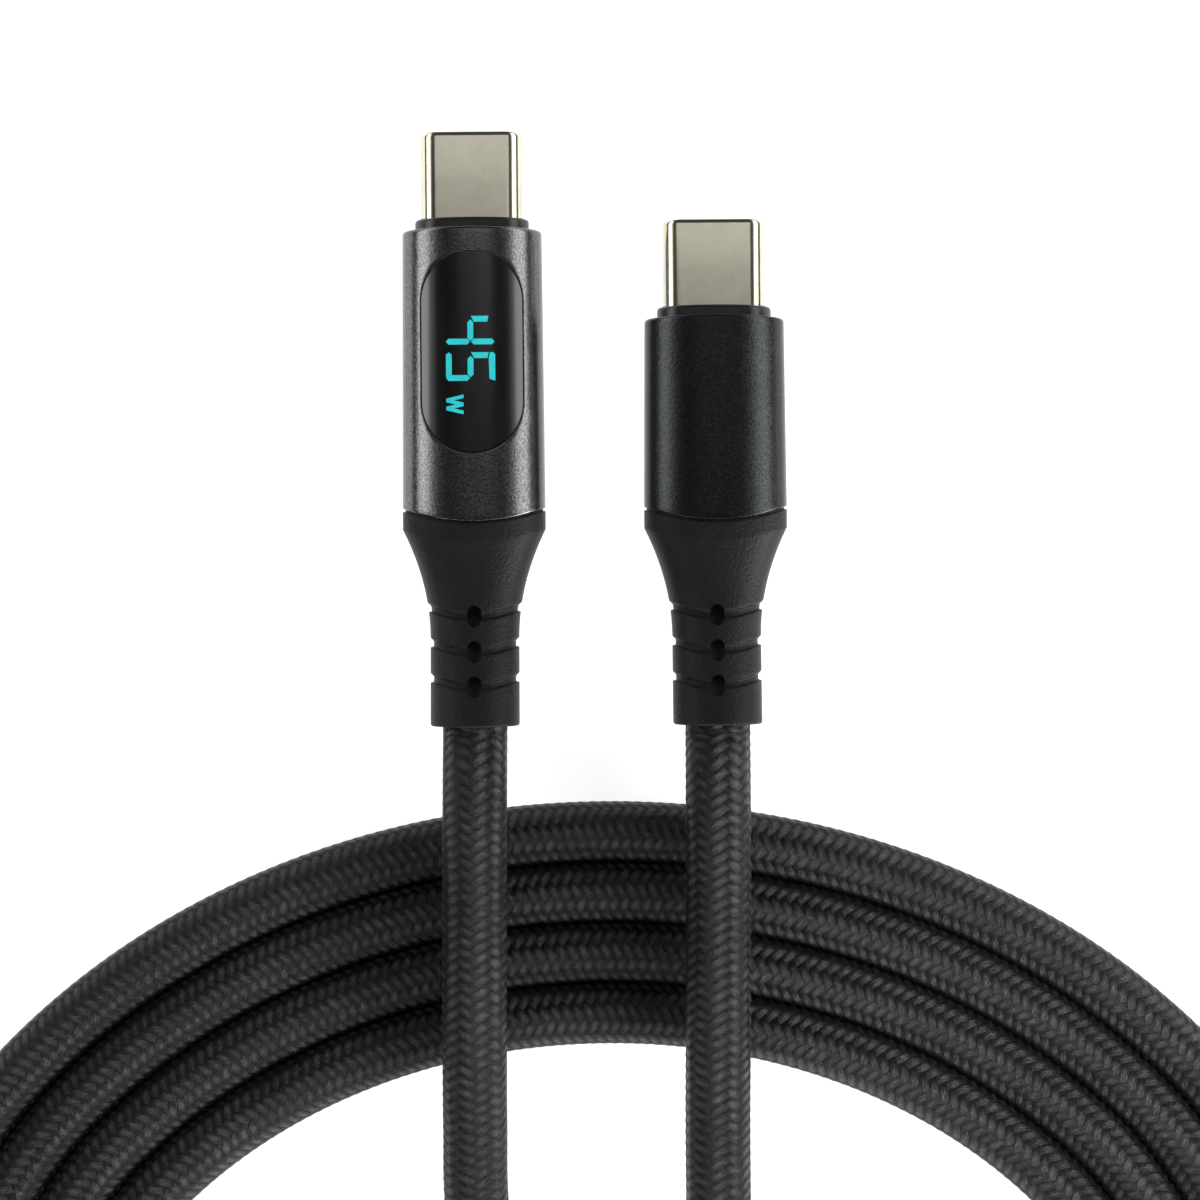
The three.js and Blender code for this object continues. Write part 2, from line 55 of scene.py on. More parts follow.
# The case and the seam behind it.
CASE_SQUARENESS = 2.5  # the exponent of its oval section
CASE_WALL = 0.7 * MM
SEAM_SAG = 1.06 * MM  # how far the case's rear edge runs back at its middle
SEAM_GAP = 0.2 * MM
SEAM_LEDGE = 0.2 * MM  # how deep the gap is
NOSE_CROWN = 0.3 * MM  # how far the nose stands forward at its middle
NOSE_TAPER = 0.025
STRAIGHT_END = 0.35 * MM  # behind it, the case's sides run to the curved seam
SHOULDER_REACH = 0.26 * MM
SHOULDER_INSET = 0.30 * MM
SHOULDER_DROP = 0.65 * SHOULDER_INSET  # the inset above and below
MOUTH_BEVEL = 0.12 * MM
REAR_BEVEL = 0.07 * MM
AROUND = 120  # points round a plug's section

# The plastic collar in the case's mouth.
COLLAR_WIDTH = 9.3 * MM
COLLAR_DEPTH = 4.3 * MM
COLLAR_CLEARANCE = 0.03 * MM
COLLAR_EDGE = 0.28 * MM
COLLAR_CROWN = 0.16 * MM

# The plug's steel shell.
SHELL_WALL = 0.3 * MM
LIP_REACH = 0.46 * MM
LIP_INSET = 0.24 * MM
LIP_SIDE_INSET = 0.5 * MM

# The window of the meter and its reading.
WINDOW_WIDTH = 8.2 * MM
WINDOW_LENGTH = 16.3 * MM
WINDOW_MIDDLE = 12.6 * MM
WINDOW_BEVEL = 0.1 * MM
FRAME_MARGIN = 0.8 * MM  # of the mesh's frame round the window
LENS_RECESS = 0.07 * MM
LENS_CLEARANCE = 0.03 * MM
DIGIT_HEIGHT = 3.97 * MM
DIGIT_WIDTH = 2.3 * MM
DIGIT_STROKE = 0.47 * MM
DIGIT_FOOT = -2.1 * MM
DIGIT_PITCH = 2.93 * MM
FIRST_DIGIT = 15.44 * MM
UNIT_START = 9.12 * MM
UNIT_HEIGHT = 1.4 * MM
UNIT_WIDTH = 1.6 * MM

# The boot.
BOOT_LENGTH = 17.6 * MM
BOOT_RIM = 1.72 * MM
BOOT_TAPER = 8.8 * MM
BOOT_TAIL_WIDTH = 7.2 * MM
BOOT_TAIL_DEPTH = 6.5 * MM
BOOT_BORE = 5.3 * MM  # at the tail, round the braid
BOOT_INNER_BORE = 4.7 * MM  # further in, round the bare jacket
TAIL_LIFT = 2.4 * MM
LIFT_START = 2.0 * MM
GROOVES = [8.0 * MM, 10.85 * MM, 13.7 * MM]
GROOVE_HALF = 0.38 * MM
GROOVE_DEPTH = 0.27 * MM
GROOVE_SAG = 0.78 * MM
SLOT_WIDTH = 1.15 * MM
SLOT_LENGTH = 1.75 * MM
SLOT_DEPTH = 0.8 * MM
BOOT_RIM_EDGE = 0.14 * MM
BOOT_TAIL_EDGE = 0.22 * MM
BOOT_CREASE = 48.0  # degrees
SPIGOT_WIDTH = 9.5 * MM  # the part of the boot inside the case
SPIGOT_DEPTH = 5.3 * MM
SPIGOT_LENGTH = 2.0 * MM

# The cord and its coil, as the CAD solids have them.
CORD_DIAMETER = 5.0 * MM
LANE_PITCH = 4.9 * MM
LANES = 4
COIL_MIDDLE_X = 10.45 * MM
COIL_TOP_Y = -30.4 * MM
COIL_HALF_WIDTH = 64 * MM
COIL_HALF_HEIGHT = 54.5 * MM
COIL_CORNER = 40 * MM
LANE_CHANGE = 52 * MM  # half the length over which a turn moves to the next lane
BRAID_YARNS = 12  # in each direction
BRAID_STEP = 0.9 * MM  # along the cord, from one yarn to the next
BRAID_FINENESS = 3  # points of the mesh for each yarn, both around and along
BRAID_RELIEF = 0.13 * MM
BRAID_MIDDLE = 0.6  # the braid's height at which the cord has its nominal size
YARN_ARCH = 0.55  # how much of the height is from a yarn passing over the others
YARN_CROWN = 0.45  # and how much from its own round section
LEG_SWELL = 0.10 * MM  # the legs are looser than the coil, so their braid is thicker
LEG_END = 80 * MM  # the cord's length from a boot to where a leg becomes part of the coil
LEG_FADE = 20 * MM
LEG_LEAN = 0.0078  # a leg hangs this much to the left, for each unit of its length
LEAN_LENGTH = 40 * MM

# The middle line of each leg, from inside its boot to the coil. The start is (y, z).
PLAIN_X = 0.0196
LEG_START = [
    (-0.0228, 0.00565),
    (-0.0244, 0.0061),
    (-0.0251, 0.00615),
    (-0.0280, 0.00715),
    (-0.0330, 0.0078),
    (-0.0400, 0.00795),
    (-0.0480, 0.0078),
]
METER_LEG = [(0.0, y, z) for y, z in LEG_START] + [
    (0.0, -0.0560, 0.0062),
    (0.0002, -0.0640, 0.0040),
    (0.0020, -0.0725, 0.0028),
    (0.0032, -0.0815, 0.00255),
    (0.0006, -0.0905, 0.00255),
    (-0.0062, -0.0952, 0.00255),
    (-0.0145, -0.0970, 0.00253),
]
PLAIN_LEG = [(PLAIN_X, y, z) for y, z in LEG_START] + [
    (PLAIN_X, -0.0580, 0.0067),
    (PLAIN_X + 0.0002, -0.0680, 0.0059),
    (PLAIN_X + 0.0010, -0.0790, 0.0060),
    (PLAIN_X + 0.0056, -0.0905, 0.0070),
    (PLAIN_X + 0.0140, -0.0988, 0.0078),
    (PLAIN_X + 0.0244, -0.1018, 0.0079),
    (0.0533, -0.1003, 0.0077),
    (0.0612, -0.0951, 0.0070),
    (0.0666, -0.0872, 0.0052),
    (0.0684, -0.07785, 0.0036),
]


# ---- meshes ----


class Net:
    """The points and faces of one mesh, gathered row by row."""

    def __init__(self):
        self.points = []
        self.faces = []

    def row(self, points):
        first = len(self.points)
        self.points.extend(tuple(float(x) for x in p) for p in points)
        return list(range(first, len(self.points)))

    def strip(self, one, other, closed=True, gap=None):
        """Joins two rows of equal length. gap is the (first, last) column that is left open."""
        count = len(one)
        for i in range(count if closed else count - 1):
            if gap and gap[0] <= i < gap[1]:
                continue
            j = (i + 1) % count
            self.faces.append((one[i], one[j], other[j], other[i]))

    def cap(self, row):
        self.faces.append(tuple(row))

    def made(self, name, finish, crease=35.0):
        mesh = bpy.data.meshes.new(name)
        mesh.from_pydata(self.points, [], self.faces)
        shape = bmesh.new()
        shape.from_mesh(mesh)
        bmesh.ops.remove_doubles(shape, verts=shape.verts, dist=1e-7)
        bmesh.ops.recalc_face_normals(shape, faces=shape.faces)
        shape.to_mesh(mesh)
        shape.free()
        return shown(name, mesh, finish, crease)


def ringed(name, rings, finish, crease=35.0):
    """An object of closed rings of points, each joined to the next and the last to the first."""
    net = Net()
    rows = [net.row(ring) for ring in rings]
    for one, other in zip(rows, rows[1:] + rows[:1]):
        net.strip(one, other)
    return net.made(name, finish, crease)


def added(name, data):
    """An object in the scene with this mesh, light or camera."""
    thing = bpy.data.objects.new(name, data)
    bpy.context.scene.collection.objects.link(thing)
    return thing


def shown(name, mesh, finish, crease=35.0):
    """A piece with this mesh, smooth but for edges sharper than crease."""
    mesh.shade_smooth()
    mesh.set_sharp_from_angle(angle=math.radians(crease))
    mesh.materials.append(finish)
    return added(name, mesh)


def lengths(line):
    """The length along a line to each of its points."""
    return np.concatenate([[0], np.cumsum(np.linalg.norm(np.diff(line, axis=0), axis=1))])


def spaced(line, shares):
    """The points of a line at these shares of its length."""
    along = lengths(line)
    return np.stack([np.interp(shares * along[-1], along, axis) for axis in line.T], axis=1)


def evenly(outline):
    """A closed outline again, as AROUND points that are evenly far apart."""
    return spaced(np.vstack([outline, outline[:1]]), np.arange(AROUND) / AROUND)


def full_turn():
    return np.linspace(0, 2 * np.pi, 1441)[:-1]


def oval(width, depth, squareness):
    """A squared oval in x and z, anticlockwise from +X. At a squareness of 2 it is round."""
    angle = full_turn()
    power = 2 / squareness
    x = width / 2 * np.sign(np.cos(angle)) * np.abs(np.cos(angle)) ** power
    z = depth / 2 * np.sign(np.sin(angle)) * np.abs(np.sin(angle)) ** power
    return evenly(np.stack([x, z], axis=1))


def stadium(width, depth):
    """A rectangle with round ends in x and z, anticlockwise from +X."""
    angle = full_turn()
    straight = (width - depth) / 2
    x = depth / 2 * np.cos(angle) + straight * np.sign(np.cos(angle))
    z = depth / 2 * np.sin(angle)
    return evenly(np.stack([x, z], axis=1))


def placed(section, y, lift=0.0):
    """A section's points in space. y is a number, or one number for each point."""
    y = np.broadcast_to(y, len(section))
    return np.stack([section[:, 0], y, section[:, 1] + lift], axis=1)


def quarter(steps):
    """(share inwards, share forwards) round a rounded edge, from its side to its end."""
    turns = np.linspace(0, math.pi / 2, steps + 1)
    return [(1 - math.cos(t), math.sin(t)) for t in turns]


# ---- materials ----

DRAWN = (1.0, 0.03, 1.0)  # the stretch of a metal's lines, which run along the plug


def feed(tree, sockets, values):
    """Gives a node's inputs their values, each a number or a Value."""
    for socket, value in zip(sockets, values):
        if isinstance(value, Value):
            tree.links.new(value.socket, socket)
        else:
            socket.default_value = value


class Value:
    """A number in a material's node tree, so that a formula reads as one."""

    def __init__(self, tree, socket):
        self.tree = tree
        self.socket = socket

    def math(self, operation, *others, first=None):
        node = self.tree.nodes.new("ShaderNodeMath")
        node.operation = operation
        feed(self.tree, node.inputs, [self, *others] if first is None else [first, self])
        return Value(self.tree, node.outputs[0])

    def __add__(self, other):
        return self.math("ADD", other)

    def __sub__(self, other):
        return self.math("SUBTRACT", other)

    def __mul__(self, other):
        return self.math("MULTIPLY", other)

    def __rsub__(self, other):
        return self.math("SUBTRACT", first=other)

    def floor(self):
        return self.math("FLOOR")

    def cosine(self):
        return self.math("COSINE")

    def above(self, other):
        return self.math("GREATER_THAN", other)

    def at_least(self, other):
        return self.math("MAXIMUM", other)

    def at_most(self, other):
        return self.math("MINIMUM", other)

    def mixed(self, low, high):
        """low where this is 0, and high where it is 1."""
        return self * (high - low) + low


class Finish:
    """One material: a Principled shader, and the fields that drive it."""

    def __init__(self, name, **sockets):
        self.name = name
        self.material = bpy.data.materials.new(name)
        self.material.use_nodes = True
        self.tree = self.material.node_tree
        self.shader = self.tree.nodes["Principled BSDF"]
        for socket, value in sockets.items():
            self.set(socket.replace("_", " ").title().replace("Ior", "IOR"), value)
        self.place = self.tree.nodes.new("ShaderNodeTexCoord").outputs["Object"]
        self.relief = None

    def set(self, socket, value):
        if isinstance(value, (tuple, list)) and len(value) == 3:
            value = (*value, 1.0)
        self.shader.inputs[socket].default_value = value

    def link(self, value, socket):
        self.tree.links.new(value, self.shader.inputs[socket])

    def stretched(self, stretch):
        """The place on the object, with each axis scaled."""
        node = self.tree.nodes.new("ShaderNodeVectorMath")
        node.operation = "MULTIPLY"
        node.inputs[1].default_value = stretch
        self.tree.links.new(self.place, node.inputs[0])
        return node.outputs[0]

    def vector(self, x, y, z=0.0):
        node = self.tree.nodes.new("ShaderNodeCombineXYZ")
        feed(self.tree, node.inputs, (x, y, z))
        return node.outputs[0]

    def noise(self, size=1.0, detail=2.0, vector=None, stretch=None):
        """Cloudy noise from 0 to 1, with grains of about that size."""
        node = self.tree.nodes.new("ShaderNodeTexNoise")
        node.inputs["Scale"].default_value = 1.0 / size
        node.inputs["Detail"].default_value = detail
        if vector is None:
            vector = self.stretched(stretch) if stretch else self.place
        self.tree.links.new(vector, node.inputs["Vector"])
        return Value(self.tree, node.outputs[0])

    def edges(self):
        """0.5 on flat faces, more on outward edges and less in corners."""
        node = self.tree.nodes.new("ShaderNodeNewGeometry")
        return Value(self.tree, node.outputs["Pointiness"])

    def axes(self, vector):
        """A vector's x and y."""
        node = self.tree.nodes.new("ShaderNodeSeparateXYZ")
        self.tree.links.new(vector, node.inputs[0])
        return Value(self.tree, node.outputs["X"]), Value(self.tree, node.outputs["Y"])

    def colour(self, value, stops):
        """A colour that follows a value through stops of (position, colour)."""
        node = self.tree.nodes.new("ShaderNodeValToRGB")
        ramp = node.color_ramp
        while len(ramp.elements) < len(stops):
            ramp.elements.new(1.0)
        for element, (position, shade) in zip(ramp.elements, stops):
            element.position = position
            element.color = (*shade, 1.0)
        self.tree.links.new(value.socket, node.inputs[0])
        return node.outputs[0]

    def tinted(self, value, stops):
        self.link(self.colour(value, stops), "Base Color")

    def rough(self, value, low, high):
        self.link(value.mixed(low, high).socket, "Roughness")

    def raised(self, value, depth):
        """Adds relief: value from 0 to 1 stands for that depth in metres."""
        node = self.tree.nodes.new("ShaderNodeBump")
        node.inputs["Strength"].default_value = 1.0
        node.inputs["Distance"].default_value = depth
        self.tree.links.new(value.socket, node.inputs["Height"])
        if self.relief:
            self.tree.links.new(self.relief, node.inputs["Normal"])
        self.relief = node.outputs[0]
        self.link(self.relief, "Normal")


def shades(colour, spread):
    """Two tints of a colour, darker and lighter by that share."""
    dark = tuple(c * (1 - spread) for c in colour)
    light = tuple(min(1.0, c * (1 + spread)) for c in colour)
    return dark, light


def moulded(name, colour, roughness, grain=0.12 * MM, depth=0.012 * MM, spread=0.15, **sockets):
    """Moulded plastic or rubber: a fine spark-eroded grain, and faint clouds of tone."""
    finish = Finish(name, **sockets)
    dark, light = shades(colour, spread)
    fine = finish.noise(grain, 3.0)
    clouds = finish.noise(3.0 * MM, 2.0)
    tone = fine * 0.5 + clouds * 0.5
    finish.tinted(tone, [(0.3, dark), (0.7, light)])
    finish.rough(fine, roughness - 0.07, roughness + 0.07)
    finish.raised(fine, depth)
    return finish


def metal(name, colour, roughness, brushed, spread=0.06, depth=0.002 * MM):
    """Bare or plated metal: fine drawn lines, and small changes of tone and polish."""
    finish = Finish(name, metallic=1.0)
    dark, light = shades(colour, spread)
    clouds = finish.noise(1.6 * MM, 3.0)
    lines = finish.noise(0.05 * MM, 2.0, stretch=brushed)
    finish.tinted(clouds, [(0.35, dark), (0.65, light)])
    finish.rough(clouds * 0.5 + lines * 0.5, roughness * 0.75, roughness * 1.25)
    finish.raised(lines, depth)
    return finish


def painted_case(name, colour, roughness, flake):
    """Dark anodised metal with a fine blasted grain, and a painted highlight that makes its edges a
    little brighter.
    """
    finish = Finish(name, metallic=1.0)
    dark, light = shades(colour, 0.30)
    grain = finish.noise(0.17 * MM, 3.0)
    clouds = finish.noise(2.4 * MM, 2.0)
    sharp = finish.edges() - 0.52  # above 0 only on edges
    # Painted highlight: the colour is lifted on outward edges, which are found by their pointiness.
    edge_highlight = (sharp * 9.0).at_least(0.0).at_most(1.0)
    tone = (grain * 0.85 + clouds * 0.15 + edge_highlight * 0.1).at_most(1.0)
    finish.tinted(tone, [(0.38, dark), (0.66, light)])
    finish.rough(grain * 0.8 + clouds * 0.2, roughness - 0.05, roughness + 0.05)
    finish.raised(grain, flake)
    return finish


def braid():
    """A two-over-two braid of flat yarns, each a bundle of fine threads."""
    finish = Finish("black_braid", ior=1.36)
    uv = finish.tree.nodes.new("ShaderNodeUVMap")
    uv.uv_map = "braid"
    around, along = finish.axes(uv.outputs[0])
    around = around * float(BRAID_YARNS)
    a = around + along
    b = around - along
    right, left = yarn_heights(a, b, Value.cosine, Value.floor)
    height = right.at_least(left)
    upper = right.above(left)

    across = upper.mixed(b, a)
    down = upper.mixed(a, b)
    yarn = across.floor()
    threads = finish.noise(1.0, 2.0, finish.vector(across * 10.0, down * 1.6, upper * 40.0))
    tint = finish.noise(1.0, 0.0, finish.vector(yarn * 7.31, upper * 19.7))
    patches = finish.noise(7.0 * MM, 2.0)
    # The height term is painted shade and highlight: the gaps between the yarns are darkened and
    # the yarn crowns lightened. Threads, tint and patches are the yarns' own tone.
    tone = height * 0.52 + threads * 0.42 + tint * 0.2 + patches * 0.2 - 0.2
    stops = [
        (0.34, (0.0004, 0.0004, 0.0004)),
        (0.60, (0.0045, 0.0045, 0.0043)),
        (0.86, (0.0550, 0.0540, 0.0520)),
    ]
    finish.tinted(tone, stops)
    finish.rough(height * 0.45 + threads * 0.55, 0.80, 0.16)
    finish.raised(height, 0.30 * MM)
    finish.raised(threads, 0.24 * MM)
    return finish


def yarn_heights(a, b, cosine, floor):
    """How high the yarns that lean right and left stand. The higher one shows, from 0 to 1.

    a and b count these yarns. They are arrays, or Values with the functions of that class."""
    right_over = cosine((b + floor(a) - 1.0) * (math.pi / 2))
    left_over = cosine((a + floor(b) - 1.0) * (math.pi / 2))
    right = right_over * YARN_ARCH + crown(a - floor(a)) * YARN_CROWN
    left = left_over * -YARN_ARCH + crown(b - floor(b)) * YARN_CROWN
    return right, left


def crown(share):
    """The rounded height across a yarn: 0 at its sides and 1 in its middle."""
    offset = share * 2.0 - 1.0
    return 1.0 - offset * offset


def glass():
    """The meter's black window: glossy, with the faintest smears."""
    finish = Finish("black_lens", ior=1.72)
    smears = finish.noise(2.0 * MM, 3.0, stretch=(1.0, 0.35, 1.0))
    finish.tinted(smears, [(0.3, (0.0015, 0.0015, 0.0017)), (0.7, (0.0030, 0.0031, 0.0034))])
    finish.rough(smears, 0.16, 0.22)
    return finish


def lit_segments():
    """The reading: teal bars with a slightly uneven glow."""
    finish = Finish("teal_reading", roughness=0.45)
    glow = finish.noise(0.9 * MM, 1.0)
    shade = finish.colour(glow, [(0.3, (0.011, 0.48, 0.51)), (0.7, (0.016, 0.58, 0.62))])
    finish.link(shade, "Emission Color")
    finish.set("Base Color", (0.006, 0.12, 0.13))
    finish.set("Emission Strength", 0.80)
    return finish


def circuit_board():
    """Green solder mask over fine copper tracks, which wander and stop here and there."""
    finish = Finish("green_board", coat_weight=0.4, coat_roughness=0.15)
    across, _ = finish.axes(finish.place)
    pitch = 0.5 * MM
    bend = (finish.noise(1.8 * MM, 0.0) - 0.5) * (1.2 * MM)
    tracks = ((across + bend) * (2 * math.pi / pitch)).cosine().above(0.55)
    copper = tracks * finish.noise(2.2 * MM, 0.0).above(0.45)
    finish.tinted(copper, [(0.0, (0.006, 0.045, 0.020)), (1.0, (0.016, 0.105, 0.040))])
    finish.rough(finish.noise(0.3 * MM), 0.35, 0.5)
    finish.raised(copper, 0.02 * MM)
    return finish


def plug_steel():
    """The plug's shell: polished steel with a warm tone."""
    return metal("plug_steel", (0.74, 0.705, 0.565), 0.16, DRAWN, spread=0.05, depth=0.0006 * MM)


def boot_rubber():
    """Dull black rubber with a coarse grain and a trace of dust."""
    return moulded(
        "boot_rubber",
        (0.0040, 0.0052, 0.0047),
        0.50,
        grain=0.24 * MM,
        depth=0.07 * MM,
        spread=0.4,
        ior=1.27,
        sheen_weight=0.04,
        sheen_roughness=0.5,
    )


def make_finishes():
    """All the materials of the object, by their names."""
    finishes = [
        plug_steel(),
        moulded("black_insulator", (0.012, 0.012, 0.013), 0.5),
        metal("gold_plate", (0.85, 0.55, 0.19), 0.22, DRAWN),
        metal("spring_steel", (0.55, 0.55, 0.54), 0.3, DRAWN),
        metal("copper", (0.62, 0.27, 0.13), 0.35, brushed=(1.0, 0.1, 1.0)),
        moulded("black_collar", (0.009, 0.010, 0.010), 0.34, 0.10 * MM, 0.006 * MM),
        painted_case("meter_case_metal", (0.148, 0.152, 0.149), 0.24, 0.012 * MM),
        # The plain case's metal is the meter case's metal made darker and rougher: its darker
        # colour is painted shade.
        painted_case("plain_case_metal", (0.044, 0.047, 0.0465), 0.30, 0.015 * MM),
        boot_rubber(),
        braid(),
        moulded("black_jacket", (0.010, 0.010, 0.011), 0.6),
        moulded("white_mould", (0.62, 0.61, 0.56), 0.5, 0.2 * MM),
        circuit_board(),
        moulded("chip_epoxy", (0.011, 0.011, 0.012), 0.42, 0.06 * MM, 0.006 * MM),
        moulded("capacitor_ceramic", (0.33, 0.21, 0.10), 0.4, 0.08 * MM, 0.004 * MM),
        moulded("display_panel", (0.006, 0.006, 0.007), 0.35),
        lit_segments(),
        glass(),
        moulded("black_wire", (0.008, 0.008, 0.009), 0.45),
        moulded("white_wire", (0.75, 0.74, 0.70), 0.42),
        moulded("blue_wire", (0.030, 0.115, 0.440), 0.42),
        moulded("green_wire", (0.035, 0.300, 0.070), 0.42),
        moulded("red_wire", (0.430, 0.016, 0.012), 0.42),
    ]
    return {finish.name: finish.material for finish in finishes}


# ---- the cord ----


def coil_point(turn):
    """A point of the coil's outer edge at a turn from its top, clockwise to half a turn."""
    bent = min(abs(turn), math.pi / 4)
    across = COIL_HALF_WIDTH * math.sin(bent)
    down = COIL_HALF_HEIGHT * math.cos(bent)
    reach = math.hypot(across, down)
    x = COIL_HALF_WIDTH * across / reach
    y = COIL_HALF_HEIGHT * down / reach - COIL_HALF_HEIGHT
    if abs(turn) > math.pi / 4:
        x += COIL_CORNER * (math.sin(abs(turn)) - math.sin(bent))
        y += COIL_CORNER * (math.cos(turn) - math.cos(bent))
    return COIL_MIDDLE_X + math.copysign(x, turn), COIL_TOP_Y + y


def coil_edge():
    """The coil's outer edge, clockwise from the middle of its lower run: (x, y, turn)."""
    steps = 100
    turns = [math.pi * (2 * i / steps - 1) for i in range(steps + 1)]
    edge = [(*coil_point(turn), turn) for turn in turns]
    left, low, _ = edge[0]
    across = 6
    run = [COIL_MIDDLE_X + (left - COIL_MIDDLE_X) * i / across for i in range(across)]
    before = [(x, low, -math.pi) for x in run]
    after = [(2 * COIL_MIDDLE_X - x, low, math.pi) for x in reversed(run)]
    return before + edge + after


def eased(share):
    share = min(1.0, max(0.0, share))
    return share * share * (3 - 2 * share)


def coil_line():
    """The middle of the cord through its turns, from the innermost to the outermost.

    Each turn keeps its lane but for the lower run, where it moves out to the next one."""
    edge = coil_edge()
    along = lengths(np.array(edge)[:, :2])
    once = along[-1]
    first_turn = -2.2  # where the meter plug's leg joins
    last_turn = 1.18  # and where the plain plug's leg does
    line = []
    for lane in range(LANES):
        for (x, y, turn), d in zip(edge, along):
            if (lane == 0 and turn < first_turn) or (lane == LANES - 1 and turn > last_turn):
                continue
            inset = CORD_DIAMETER / 2 + (LANES - 1 - lane) * LANE_PITCH
            if lane > 0:
                inset += LANE_PITCH * (1 - eased((d + LANE_CHANGE) / (2 * LANE_CHANGE)))
            if lane < LANES - 1:
                inset -= LANE_PITCH * eased((d - once + LANE_CHANGE) / (2 * LANE_CHANGE))
            point = (x - inset * math.sin(turn), y - inset * math.cos(turn), CORD_DIAMETER / 2)
            if not line or math.dist(point, line[-1]) > 1.0 * MM:
                line.append(point)
    return line


def smooth_line(points, spacing):
    """One smooth curve through the points (a centripetal Catmull-Rom spline), as points that
    are that far apart."""
    p = np.array(points, float)
    p = np.vstack([2 * p[0] - p[1], p, 2 * p[-1] - p[-2]])
    knots = np.concatenate([[0], np.cumsum(np.linalg.norm(np.diff(p, axis=0), axis=1) ** 0.5)])
    fine = []
    for i in range(1, len(p) - 2):
        near = knots[i - 1 : i + 3]
        t = np.linspace(near[1], near[2], 25)[:-1, None]
        level = p[i - 1 : i + 3]
        for spans in (((0, 1), (1, 2), (2, 3)), ((0, 2), (1, 3)), ((1, 2),)):
            level = [
                ((near[end] - t) * one + (t - near[start]) * other) / (near[end] - near[start])
                for (start, end), one, other in zip(spans, level, level[1:])
            ]
        fine.append(level[0])
    fine = np.vstack([*fine, p[-2:-1]])
    return spaced(fine, np.linspace(0, 1, int(round(lengths(fine)[-1] / spacing)) + 1))


def carried_frames(line):
    """Two directions across the line at each of its points, carried along without twisting.
    The first starts pointing down."""
    ahead = np.gradient(line, axis=0)
    ahead /= np.linalg.norm(ahead, axis=1)[:, None]
    across = np.zeros_like(line)
    current = np.array([0.0, 0.0, -1.0])
    for i, direction in enumerate(ahead):
        current = current - direction * (current @ direction)
        current /= np.linalg.norm(current)
        across[i] = current
    return across, np.cross(ahead, across)


def cord_mesh(name, line, finish):
    """A tube along the line with the braid's relief, and a map of the braid on it."""
    sides = BRAID_FINENESS * BRAID_YARNS
    count = len(line)
    across, other = carried_frames(line)
    around = np.arange(sides) / sides
    along = np.arange(count) / BRAID_FINENESS
    nudge = 0.5 / sides  # so that no point lies on the edge between two yarns
    yarns = BRAID_YARNS * (around + nudge)
    heights = yarn_heights(yarns + along[:, None], yarns - along[:, None], np.cos, np.floor)
    from_end = np.minimum(along, along[::-1]) * BRAID_STEP
    leg = np.clip((LEG_END - from_end) / LEG_FADE, 0, 1)
    outer = CORD_DIAMETER / 2 + LEG_SWELL * leg
    radius = outer[:, None] + BRAID_RELIEF * (np.maximum(*heights) - BRAID_MIDDLE)
    angle = 2 * np.pi * around
    points = (
        line[:, None]
        + radius[:, :, None] * np.cos(angle)[None, :, None] * across[:, None]
        + radius[:, :, None] * np.sin(angle)[None, :, None] * other[:, None]
    )
    i, j = np.meshgrid(np.arange(count - 1), np.arange(sides), indexing="ij")
    k = (j + 1) % sides
    quads = np.stack([i * sides + j, i * sides + k, (i + 1) * sides + k, (i + 1) * sides + j], -1)
    quads = quads.reshape(-1, 4)
    ends = [list(range(sides)), list(range((count - 1) * sides, count * sides))[::-1]]
    mesh = bpy.data.meshes.new(name)
    mesh.from_pydata(points.reshape(-1, 3).tolist(), [], quads.tolist() + ends)
    corner_around = np.stack([j, j + 1, j + 1, j], -1).reshape(-1) / sides + nudge
    corner_along = np.stack([i, i, i + 1, i + 1], -1).reshape(-1) / BRAID_FINENESS
    uv = np.zeros((len(mesh.loops), 2))
    uv[: len(corner_around)] = np.stack([corner_around, corner_along], axis=1)
    mesh.uv_layers.new(name="braid").data.foreach_set("uv", uv.ravel())
    return shown(name, mesh, finish, crease=80.0)


def hung(leg):
    """A leg's points, leant a little to the left down to the picture's lower edge."""
    start = leg[1][1]
    return [(x - LEG_LEAN * min(LEAN_LENGTH, max(0.0, start - y)), y, z) for x, y, z in leg]


def make_cord(finish):
    """The whole cord as one piece, and its middle line from the meter plug to the plain one."""
    route = hung(METER_LEG) + coil_line() + hung(PLAIN_LEG)[::-1]
    line = smooth_line(route, BRAID_STEP / BRAID_FINENESS)
    return cord_mesh("braided_cord", line, finish), line


# ---- a plug's own pieces ----


class Plug:
    """Where a plug lies, from its CAD nodes."""

    def __init__(self, prefix, has_meter):
        low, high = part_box(prefix + "_case")
        shell_low, shell_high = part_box(prefix + "_plug_shell")
        seam = low.y + SEAM_SAG
        self.prefix = prefix
        self.has_meter = has_meter
        self.origin = Vector(((low.x + high.x) / 2, seam, (low.z + high.z) / 2))
        self.width = high.x - low.x
        self.depth = high.z - low.z
        self.nose = high.y - seam
        self.collar_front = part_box(prefix + "_nose_collar")[1].y - seam
        self.tip = shell_high.y - seam
        self.shell_width = shell_high.x - shell_low.x
        self.shell_depth = shell_high.z - shell_low.z

    def settle(self, piece, node, slot):
        """Moves a piece from the plug's own frame to its place, hangs it under the cable's body and
        hides the CAD node it stands in for.
        """
        piece.data.transform(Matrix.Translation(self.origin))
        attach(piece, BODY)
        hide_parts(f"{self.prefix}_{node}")
        return piece


def case_width(plug, y):
    """The case's width at y: it narrows a little towards its nose."""
    return plug.width * (1 - NOSE_TAPER * np.maximum(y, 0) / plug.nose)


def case_top(plug, x, y):
    """The height of the case's upper face over its axis."""
    share = np.maximum(1 - np.abs(2 * x / case_width(plug, y)) ** CASE_SQUARENESS, 0)
    return plug.depth / 2 * share ** (1 / CASE_SQUARENESS)


